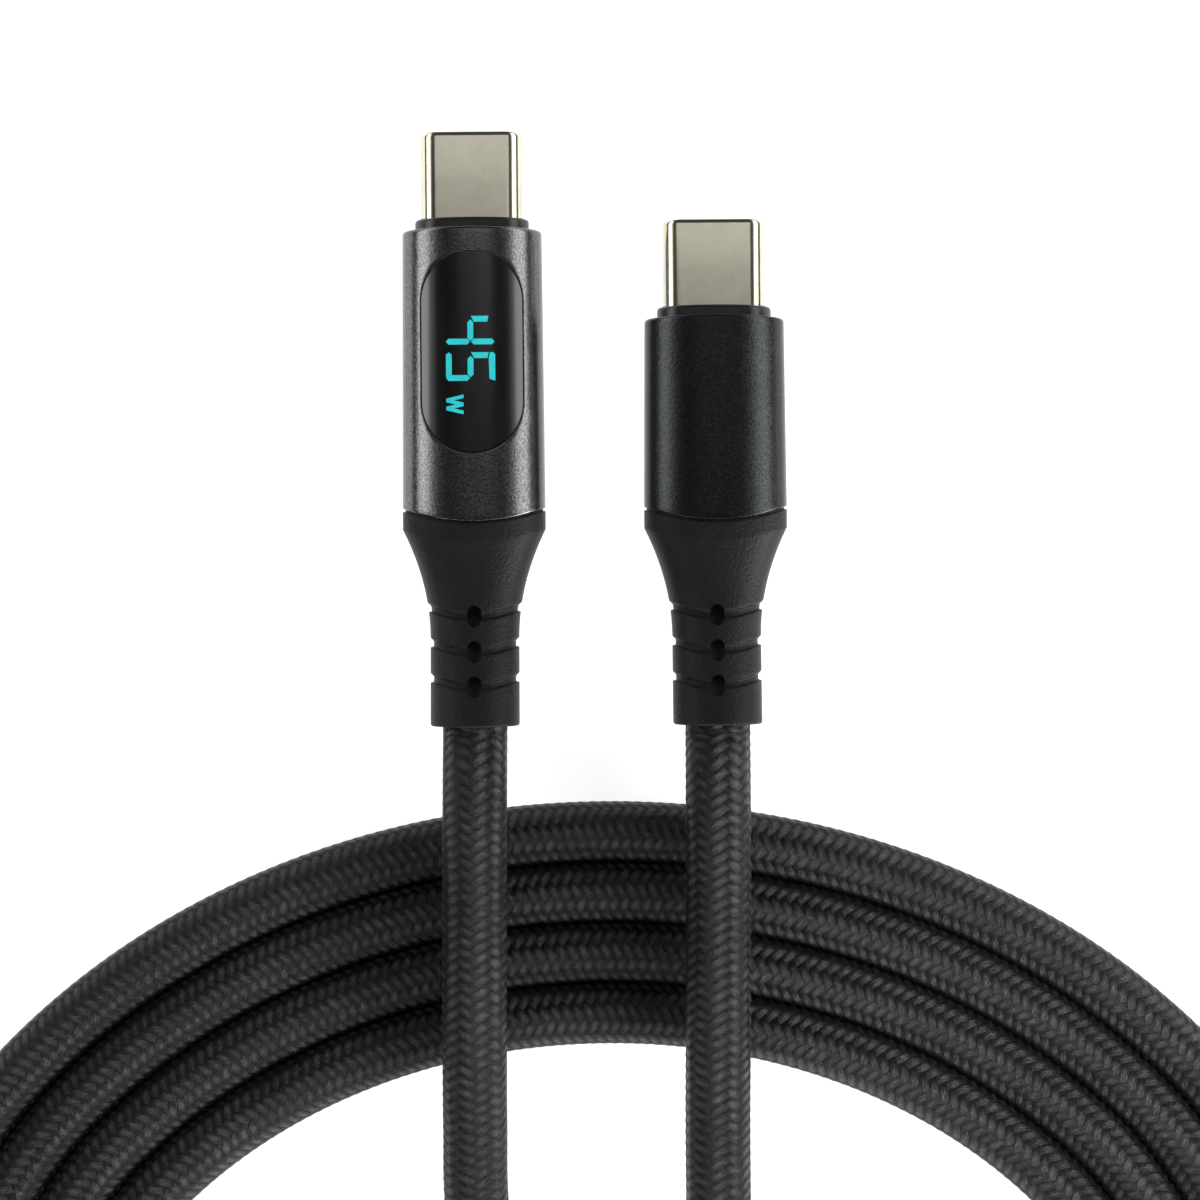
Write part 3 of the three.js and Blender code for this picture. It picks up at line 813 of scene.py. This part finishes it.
def seam_at(plug, section):
    """Where the curved seam lies at a section's points."""
    return -SEAM_SAG * (1 - (2 * section[:, 0] / plug.width) ** 2)


def nose_at(plug, section):
    """Where the crowned nose lies at a section's points."""
    return plug.nose - NOSE_CROWN * (2 * section[:, 0] / plug.width) ** 2


def nose_rings(plug, section):
    """Rings from inside the case's mouth, over its bevel, to the end of the rounded shoulder."""
    mouth = stadium(COLLAR_WIDTH, COLLAR_DEPTH)
    rim = mouth * 1.012
    rings = [
        placed(mouth, plug.nose - 1.6 * MM),
        placed(mouth, nose_at(plug, mouth) - MOUTH_BEVEL),
        placed(rim, nose_at(plug, rim)),
    ]
    narrow = case_width(plug, plug.nose) / plug.width
    for inwards, forwards in reversed(quarter(8)):
        across = narrow - 2 * SHOULDER_INSET * inwards / plug.width
        smaller = section * (across, 1 - 2 * SHOULDER_DROP * inwards / plug.depth)
        rings.append(placed(smaller, nose_at(plug, smaller) - SHOULDER_REACH * (1 - forwards)))
    return rings


def side_rings(plug, section):
    """Evenly spaced rings of the straight outside, from the shoulder back to near the seam."""
    front = plug.nose - SHOULDER_REACH - NOSE_CROWN - 0.1 * MM
    steps = int(round((plug.nose - 1.5 * MM) / (0.45 * MM)))
    places = [front + (STRAIGHT_END - front) * i / steps for i in range(steps + 1)]
    return [placed(section * (case_width(plug, y) / plug.width, 1), y) for y in places]


def rear_rings(plug, section):
    """Rings that turn into the curved seam, go over its bevel and back along the inner wall."""
    bevel = seam_at(plug, section) + REAR_BEVEL
    rings = [placed(section, STRAIGHT_END * (1 - t) + bevel * t) for t in (0.3, 0.65, 1.0)]
    for inwards, forwards in quarter(3)[1:]:
        smaller = section * (1 - 2 * 0.05 * MM * inwards / plug.width)
        rings.append(placed(smaller, bevel - REAR_BEVEL * forwards))
    inner = oval(plug.width - 2 * CASE_WALL, plug.depth - 2 * CASE_WALL, CASE_SQUARENESS)
    for y in (seam_at(plug, inner), 3.0 * MM, plug.nose - 1.8 * MM):
        rings.append(placed(inner, y))
    return rings


def window_edge(x, y, spare=0.0):
    """The point of the window's round-ended outline that is nearest to (x, y)."""
    radius = WINDOW_WIDTH / 2 + spare
    straight = (WINDOW_LENGTH - WINDOW_WIDTH) / 2
    middle = WINDOW_MIDDLE + min(straight, max(-straight, y - WINDOW_MIDDLE))
    away = math.hypot(x, y - middle)
    return radius * x / away, middle + radius * (y - middle) / away


def window_rings(plug, frame_points):
    """Rings from the frame round the window to the hole's edge, over its bevel and down."""

    def edge(spare):
        return np.array([window_edge(x, y, spare) for x, y, _ in frame_points])

    def on_case(ring, down=0.0):
        return np.column_stack([ring, case_top(plug, ring[:, 0], ring[:, 1]) - down])

    outer = np.array(frame_points)[:, :2]
    steps = 7
    inwards = (edge(WINDOW_BEVEL) - outer) / steps
    rings = [on_case(outer + inwards * i) for i in range(1, steps + 1)]
    for spare, down in ((0.04 * MM, 0.03 * MM), (0.0, WINDOW_BEVEL), (0.0, CASE_WALL)):
        rings.append(on_case(edge(spare), down))
    return rings


def make_case(plug, finish):
    """The case. The meter's one has a window: a frame of its rings and columns is left open,
    and window_rings leads from there to the round-ended hole."""
    section = oval(plug.width, plug.depth, CASE_SQUARENESS)
    nose = nose_rings(plug, section)
    sides = side_rings(plug, section)
    rings = nose + sides + rear_rings(plug, section)
    net = Net()
    rows = [net.row(ring) for ring in rings]
    upmost = AROUND // 4
    half = 0
    while abs(sides[0][upmost + half][0]) < WINDOW_WIDTH / 2 + FRAME_MARGIN:
        half += 1
    right, left = upmost - half, upmost + half
    reach = WINDOW_LENGTH / 2 + FRAME_MARGIN
    window = [len(nose) + i for i, r in enumerate(sides) if abs(r[0][1] - WINDOW_MIDDLE) <= reach]
    for i in range(len(rows)):
        open_here = plug.has_meter and i in window and i + 1 in window
        net.strip(rows[i], rows[(i + 1) % len(rows)], gap=(right, left) if open_here else None)
    if plug.has_meter:
        top, bottom = window[0], window[-1]
        previous = rows[top][right : left + 1]
        previous += [rows[i][left] for i in range(top + 1, bottom + 1)]
        previous += rows[bottom][right:left][::-1]
        previous += [rows[i][right] for i in range(bottom - 1, top, -1)]
        for ring in window_rings(plug, [net.points[i] for i in previous]):
            row = net.row(ring)
            net.strip(previous, row)
            previous = row
        net.cap(previous)
    piece = net.made(f"{plug.prefix}_case_shell", finish, crease=32.0)
    return plug.settle(piece, "case", "case_metal")


def make_collar(plug, finish):
    """The plastic collar that closes the case's nose, with a rounded front edge."""
    width = COLLAR_WIDTH - 2 * COLLAR_CLEARANCE
    depth = COLLAR_DEPTH - 2 * COLLAR_CLEARANCE

    def front(section):
        """Where the crowned front face lies at a section's points."""
        return plug.collar_front - COLLAR_CROWN * (2 * section[:, 0] / width) ** 2

    def hole(spare):
        return stadium(plug.shell_width + 2 * spare, plug.shell_depth + 2 * spare)

    back = plug.nose - 1.5 * MM
    inner = hole(COLLAR_CLEARANCE)
    rim = hole(0.1 * MM)
    rings = [placed(inner, back), placed(inner, plug.collar_front - 0.05 * MM)]
    rings.append(placed(rim, front(rim)))
    for inwards, forwards in reversed(quarter(6)):
        inset = COLLAR_EDGE * inwards
        section = stadium(width - 2 * inset, depth - 2 * inset)
        rings.append(placed(section, front(section) - COLLAR_EDGE * (1 - forwards)))
    rings.append(placed(stadium(width, depth), back))
    piece = ringed(f"{plug.prefix}_collar_ring", rings, finish)
    return plug.settle(piece, "nose_collar", "collar")


def make_shell(plug, finish):
    """The drawn steel shell of the plug, with a rolled lip at its mouth."""

    def smaller(side, face):
        return stadium(plug.shell_width - 2 * side, plug.shell_depth - 2 * face)

    back = plug.nose - 2.4 * MM
    rings = [placed(smaller(0, 0), back + 2.0 * MM * i) for i in range(4)]
    for inwards, forwards in quarter(9):
        section = smaller(LIP_SIDE_INSET * inwards, LIP_INSET * inwards)
        rings.append(placed(section, plug.tip - LIP_REACH * (1 - forwards)))
    rings.append(placed(smaller(1.1 * LIP_SIDE_INSET, SHELL_WALL), plug.tip - 0.05 * MM))
    for y in (plug.tip - 0.33 * MM, back):
        rings.append(placed(smaller(SHELL_WALL, SHELL_WALL), y))
    piece = ringed(f"{plug.prefix}_steel_shell", rings, finish, crease=50.0)
    return plug.settle(piece, "plug_shell", "plug_steel")


def boot_share(distance):
    """1 at the boot's rim, falling smoothly to 0 where the tail starts."""
    return (1 - min(1.0, max(0.0, (distance - BOOT_RIM) / BOOT_TAPER))) ** 2


def boot_lift(distance):
    bent = max(0.0, distance - LIFT_START) / (BOOT_LENGTH - LIFT_START)
    return TAIL_LIFT * bent * bent


def boot_sag(distance):
    """How far the boot's rings run back at their middle."""
    places = [0.0, GROOVES[0], GROOVES[-1], BOOT_LENGTH]
    return float(np.interp(distance, places, [SEAM_SAG, GROOVE_SAG, GROOVE_SAG, 0.08 * MM]))


def groove_depth(distance):
    """The depth of the flex grooves: flat in their middle, with steep, slightly round sides."""
    for groove in GROOVES:
        share = abs(distance - groove) / GROOVE_HALF
        if share < 1:
            return GROOVE_DEPTH * min(1.0, 2.2 * (1 - share)) ** 0.8
    return 0.0


def boot_distances():
    """Distances from the seam to the boot's rings, which are closer together at a groove."""
    coarse = np.arange(0.35 * MM, BOOT_LENGTH - 0.3 * MM, 0.3 * MM)
    clear = [d for d in coarse if all(abs(d - g) > 1.25 * GROOVE_HALF for g in GROOVES)]
    fine = [g + GROOVE_HALF * s for g in GROOVES for s in np.linspace(-1.15, 1.15, 15)]
    return sorted(clear + fine + [BOOT_RIM])


def boot_ring(plug, distance, inset=0.0):
    """The boot's outside at a distance from the seam."""
    share = boot_share(distance)
    width = BOOT_TAIL_WIDTH + (plug.width - BOOT_TAIL_WIDTH) * share
    depth = BOOT_TAIL_DEPTH + (plug.depth - BOOT_TAIL_DEPTH) * share
    cut = inset + groove_depth(distance)
    section = oval(width - 2 * cut, depth - 2 * cut, 2.3 + 0.2 * share)
    sag = boot_sag(distance) * (1 - (2 * section[:, 0] / width) ** 2)
    return placed(section, -distance - sag, boot_lift(distance))


def boot_slot(plug, groove, side):
    """A solid to cut one of the slots that cross the grooves. side is 1 above, -1 below."""
    net = Net()
    radius = SLOT_WIDTH / 2
    straight = (SLOT_LENGTH - SLOT_WIDTH) / 2
    outline = []
    for i in range(32):
        angle = 2 * math.pi * (i + 0.5) / 32
        end = math.copysign(straight, math.sin(angle))
        outline.append((radius * math.cos(angle), radius * math.sin(angle) + end))
    middle = -groove - boot_sag(groove)
    floor = boot_lift(groove) + side * (BOOT_TAIL_DEPTH / 2 - SLOT_DEPTH)
    heights = (floor, floor + side * 2 * MM)
    rows = [net.row([(x, middle + y, z) for x, y in outline]) for z in heights]
    net.strip(*rows)
    for row in rows:
        net.cap(row)
    return net.made("slot_cutter", None)


def boot_outside(plug):
    """Rings from the spigot in the case, over the ledge in the seam and the rim, to the tail."""
    spigot = oval(SPIGOT_WIDTH, SPIGOT_DEPTH, CASE_SQUARENESS)
    ledge = boot_ring(plug, 0.0, SEAM_LEDGE)
    rings = [placed(spigot, SPIGOT_LENGTH), placed(spigot, seam_at(plug, spigot))]
    rings += [ledge - (0, back, 0) for back in (0.01 * MM, SEAM_GAP)]
    for inwards, forwards in reversed(quarter(4)):
        back = SEAM_GAP + BOOT_RIM_EDGE * (1 - forwards)
        rings.append(boot_ring(plug, 0.0, BOOT_RIM_EDGE * inwards) - (0, back, 0))
    rings += [boot_ring(plug, d) for d in boot_distances()]
    for inwards, forwards in quarter(5):
        distance = BOOT_LENGTH - BOOT_TAIL_EDGE * (1 - forwards)
        rings.append(boot_ring(plug, distance, BOOT_TAIL_EDGE * inwards))
    return rings


def boot_bore():
    """Rings of the hole for the cord, from the tail forwards."""
    lift = boot_lift(BOOT_LENGTH)
    mouth = oval(BOOT_BORE, BOOT_BORE, 2.0)
    inner = oval(BOOT_INNER_BORE, BOOT_INNER_BORE, 2.0)
    rings = [placed(mouth * 1.03, -BOOT_LENGTH, lift)]
    rings.append(placed(mouth, -BOOT_LENGTH + 0.08 * MM, lift))
    for distance in (BOOT_LENGTH - 2 * MM, 9 * MM, 2 * MM, -SPIGOT_LENGTH):
        rings.append(placed(inner, -distance, boot_lift(distance)))
    return rings


def make_boot(plug, finish):
    """The rubber boot, with three flex grooves and the slots that cross them."""
    rings = boot_outside(plug) + boot_bore()
    piece = ringed(f"{plug.prefix}_strain_relief", rings, finish, BOOT_CREASE)
    for groove in GROOVES:
        for side in (1, -1):
            cut_away(piece, boot_slot(plug, groove, side))
    return plug.settle(piece, "boot", "boot")


def cut_away(piece, cutter):
    """Cuts one solid out of another, and removes the cutter."""
    modifier = piece.modifiers.new("cut", "BOOLEAN")
    modifier.operation = "DIFFERENCE"
    modifier.solver = "EXACT"
    modifier.object = cutter
    bpy.context.view_layer.update()
    seen = piece.evaluated_get(bpy.context.evaluated_depsgraph_get())
    mesh = bpy.data.meshes.new_from_object(seen)
    piece.modifiers.clear()
    piece.data = mesh
    bpy.data.objects.remove(cutter)
    mesh.set_sharp_from_angle(angle=math.radians(BOOT_CREASE))


# ---- the meter's window ----


def lens_top(plug, x, y):
    return case_top(plug, x, y) - LENS_RECESS


def make_lens(plug, finish):
    """The window: a round-ended plate that follows the case's curve."""
    net = Net()
    radius = WINDOW_WIDTH / 2 - LENS_CLEARANCE
    straight = (WINDOW_LENGTH - WINDOW_WIDTH) / 2
    steps = 24
    turns = [math.pi / 2 * (1 - i / steps) for i in range(steps + 1)]
    round_end = [straight + radius * math.sin(turn) for turn in turns]
    middles = round_end + [straight * (1 - 2 * i / steps) for i in range(1, steps)]
    middles += [-m for m in reversed(round_end)]
    columns = np.linspace(-1, 1, 2 * steps + 1)
    rows = []
    for y in middles:
        over = max(0.0, abs(y) - straight)
        x = columns * math.sqrt(max(0.0, radius**2 - over**2))
        at = np.full(len(x), WINDOW_MIDDLE + y)
        rows.append(net.row(np.stack([x, at, lens_top(plug, x, at)], axis=1)))
    for one, other in zip(rows, rows[1:]):
        net.strip(one, other, closed=False)
    rim = [row[0] for row in rows] + [row[-1] for row in reversed(rows)]
    below = net.row([(x, y, z - 0.6 * MM) for x, y, z in (net.points[i] for i in rim)])
    net.strip(rim, below)
    net.cap(below)
    piece = net.made("meter_window", finish, crease=50.0)
    return plug.settle(piece, "display_lens", "lens")


def digit_bars():
    """The bars of a seven-bar digit as outlines of (u, v): u runs along the reading, v up it.
    a is the top, b and c the right side, d the foot, f the upper left and g the middle."""
    w, h, s = DIGIT_WIDTH, DIGIT_HEIGHT, DIGIT_STROKE
    middle = h / 2
    cut = 0.16 * MM
    gap = 0.05 * MM

    def upright(low, high):
        """A bar on the right side, pointed at both ends."""
        tip = w - s / 2
        point = 0.45 * s
        return [
            (tip, low), (w, low + point), (w, high - point),
            (tip, high), (w - s, high - point), (w - s, low + point),
        ]

    return {
        "a": [(0, h - s + gap), (0, h - cut), (cut, h), (w, h), (w - cut, h - s), (s, h - s - gap)],
        "b": upright(middle + gap, h - gap),
        "c": upright(0.0, middle - gap),
        "d": [(0, s / 2), (cut, 0), (w - s + cut, 0), (w - s - gap, s), (cut, s)],
        "f": [(0, middle + gap), (0, h - s - gap), (s, h - s - 3 * gap), (s, middle + s / 2 + gap)],
        "g": [
            (0.6 * s, middle), (s + gap, middle + s / 2), (w - s - gap, middle + s / 2),
            (w - s / 2 - gap, middle), (w - s - gap, middle - s / 2), (s + gap, middle - s / 2),
        ],
    }


def unit_strokes():
    """The W of the unit: four slanted strokes."""
    stroke = 0.29 * MM
    half = stroke / 2
    feet = (0.30 * UNIT_WIDTH, 0.70 * UNIT_WIDTH)
    tops = (half, UNIT_WIDTH / 2, UNIT_WIDTH - half)
    strokes = []
    for i in range(4):
        top, foot = tops[(i + 1) // 2], feet[i // 2]
        low = [(foot - half, 0), (foot + half, 0)]
        strokes.append(low + [(top + half, UNIT_HEIGHT), (top - half, UNIT_HEIGHT)])
    return strokes


def make_reading(plug, finish):
    """The lit characters: thin bars just proud of the window, with their tops facing +X.
    They are cut into narrow strips, so that they can follow the window's curve."""
    outlines = []
    bars = digit_bars()
    for place, lit in enumerate(("fgbc", "afgcd")):
        start = FIRST_DIGIT - place * DIGIT_PITCH
        outlines += [(start, bars[name]) for name in lit]
    outlines += [(UNIT_START, stroke) for stroke in unit_strokes()]
    shape = bmesh.new()
    for start, outline in outlines:
        corners = [shape.verts.new((DIGIT_FOOT + v, start - u, 0)) for u, v in outline]
        shape.faces.new(corners)
    strips = 16
    for i in range(1, strips):
        everything = [*shape.verts, *shape.edges, *shape.faces]
        place = (DIGIT_FOOT + i * DIGIT_HEIGHT / strips, 0, 0)
        bmesh.ops.bisect_plane(shape, geom=everything, plane_co=place, plane_no=(1, 0, 0))
    for corner in shape.verts:
        corner.co.z = float(lens_top(plug, corner.co.x, corner.co.y)) + 0.012 * MM
    under = bmesh.ops.extrude_face_region(shape, geom=list(shape.faces))
    moved = [v for v in under["geom"] if isinstance(v, bmesh.types.BMVert)]
    bmesh.ops.translate(shape, verts=moved, vec=(0, 0, -0.05 * MM))
    bmesh.ops.recalc_face_normals(shape, faces=shape.faces)
    mesh = bpy.data.meshes.new("meter_reading")
    shape.to_mesh(mesh)
    shape.free()
    piece = shown("meter_reading", mesh, finish)
    return plug.settle(piece, "display_reading", "reading")


# ---- the stage ----


def make_camera():
    """Straight above the plugs and the upper half of the coil, as if from over a table."""
    low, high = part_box("cord_coil")
    view = bpy.data.cameras.new("camera")
    view.lens = 150.0
    view.sensor_width = 36.0
    camera = added("camera", view)
    camera.location = ((low.x + high.x) / 2 - 0.29 * MM, high.y + 16.4 * MM, 410 * MM)
    camera.rotation_euler = (0.0, 0.0, math.radians(-0.45))
    bpy.context.scene.camera = camera


def make_floor():
    """A pale lit table."""
    half = 6.0
    net = Net()
    corners = [(-half, -half), (half, -half), (half, half), (-half, half)]
    net.cap(net.row([(x, y, -0.02 * MM) for x, y in corners]))
    finish = Finish("pale_table", roughness=0.9)
    clouds = finish.noise(60 * MM, 2.0)
    finish.tinted(clouds, [(0.3, (0.42, 0.42, 0.42)), (0.7, (0.46, 0.46, 0.46))])
    finish.set("Emission Color", (1.0, 1.0, 1.0))
    finish.set("Emission Strength", 0.88)
    net.made("table_top", finish.material)


def softbox(name, direction, distance, size, strength, aim=(0.0, 0.0, 0.0)):
    """A rectangular lamp that faces aim from a direction, as bright as strength at any size."""
    light = bpy.data.lights.new(name, "AREA")
    light.shape = "RECTANGLE"
    light.size, light.size_y = size
    light.energy = strength * size[0] * size[1] * math.pi
    lamp = added(name, light)
    away = Vector(direction).normalized()
    lamp.location = Vector(aim) + away * distance
    lamp.rotation_euler = away.to_track_quat("Z", "Y").to_euler()
    lamp.visible_camera = False


def make_lights():
    """Soft boxes along both sides, with a weak inner one each, one on the right for the cord,
    one in front, and two cards that the plugs' flat faces mirror."""
    plugs = (-0.03, 0.45)  # the boxes run along y past the plugs, or past the cord
    cord = (-0.45, -0.07)
    for name, tilt, half_angle, strength, (near, far) in (
        ("left_outer", -56, 13, 3.4, plugs),
        ("left_inner", -38, 5, 0.6, plugs),
        ("right_outer", 54, 14, 3.2, plugs),
        ("right_inner", 36, 4, 0.6, plugs),
        ("right_low", 70, 18, 12.0, cord),
    ):
        reach = 0.35
        width = 2 * reach * math.tan(math.radians(half_angle))
        away = (math.sin(math.radians(tilt)), 0, math.cos(math.radians(tilt)))
        middle = (0.0, (near + far) / 2, 0.0)
        softbox(name, away, reach, (far - near, width), strength, middle)
    front = math.radians(66)
    away = (0, -math.sin(front), math.cos(front))
    softbox("front_box", away, 0.5, (0.6, 0.30), 5.0)
    softbox("plug_card_left", (0, 0, 1), 0.5, (0.07, 0.15), 0.68, (-0.030, 0.128, 0.0))
    softbox("plug_card_right", (0, 0, 1), 0.5, (0.09, 0.166), 0.68, (0.052, 0.120, 0.0))


def make_world():
    """A room that looks pale from the camera, but lights the object only a little."""
    world = bpy.data.worlds.new("studio")
    world.use_nodes = True
    tree = world.node_tree
    background = tree.nodes["Background"]
    background.inputs["Color"].default_value = (1, 1, 1, 1)
    seen = tree.nodes.new("ShaderNodeLightPath").outputs["Is Camera Ray"]
    strength = Value(tree, seen).mixed(0.05, 0.93)
    tree.links.new(strength.socket, background.inputs["Strength"])
    bpy.context.scene.world = world


# ---- everything ----


def make_plug(plug, finishes):
    pieces = [
        make_shell(plug, finishes["plug_steel"]),
        make_collar(plug, finishes["black_collar"]),
        make_case(plug, finishes[f"{plug.prefix}_case_metal"]),
        make_boot(plug, finishes["boot_rubber"]),
    ]
    if plug.has_meter:
        pieces.append(make_lens(plug, finishes["black_lens"]))
        pieces.append(make_reading(plug, finishes["teal_reading"]))
    return pieces


# What the CAD nodes that stay are made of, by their names after the plug's.
FINISH_NODES = {
    "black_insulator": ["plug_insulator"],
    "gold_plate": ["upper_contacts", "lower_contacts"],
    "spring_steel": ["latch_plate", "left_latch", "right_latch", "shield_can", "cable_crimp"],
    "copper": ["shunt_resistor"],
    "black_jacket": ["cable_jacket"],
    "white_mould": ["inner_mould", "board_carrier"],
    "green_board": ["board"],
    "chip_epoxy": ["marker_chip", "power_chip", "driver_chip"],
    "capacitor_ceramic": ["capacitor"],
    "display_panel": ["display_panel"],
    "black_wire": ["ground_wire"],
    "white_wire": ["data_minus_wire"],
    "blue_wire": ["sense_wire"],
    "green_wire": ["data_plus_wire"],
    "red_wire": ["power_wire"],
}


def finish_cad_nodes(finishes):
    """Gives the CAD nodes that stay their materials. Returns those of the plain plug."""
    finish_of = {kind: finish for finish, kinds in FINISH_NODES.items() for kind in kinds}
    plain = []
    for name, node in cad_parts.items():
        prefix, _, kind = name.partition("_")
        if kind in finish_of and not node.hide_render:
            node.material_slots[0].material = finishes[finish_of[kind]]
            if prefix == "plain":
                plain.append(node)
    return plain


make_camera()
finishes = make_finishes()
cord, cord_line = make_cord(finishes["black_braid"])
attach(cord, BODY)
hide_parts("cord_coil", "cord_leg_meter", "cord_leg_plain")
make_plug(Plug("meter", True), finishes)
plain_pieces = make_plug(Plug("plain", False), finishes)
plain_pieces += finish_cad_nodes(finishes)
make_floor()
make_lights()
make_world()
bpy.context.scene.view_settings.view_transform = "Standard"
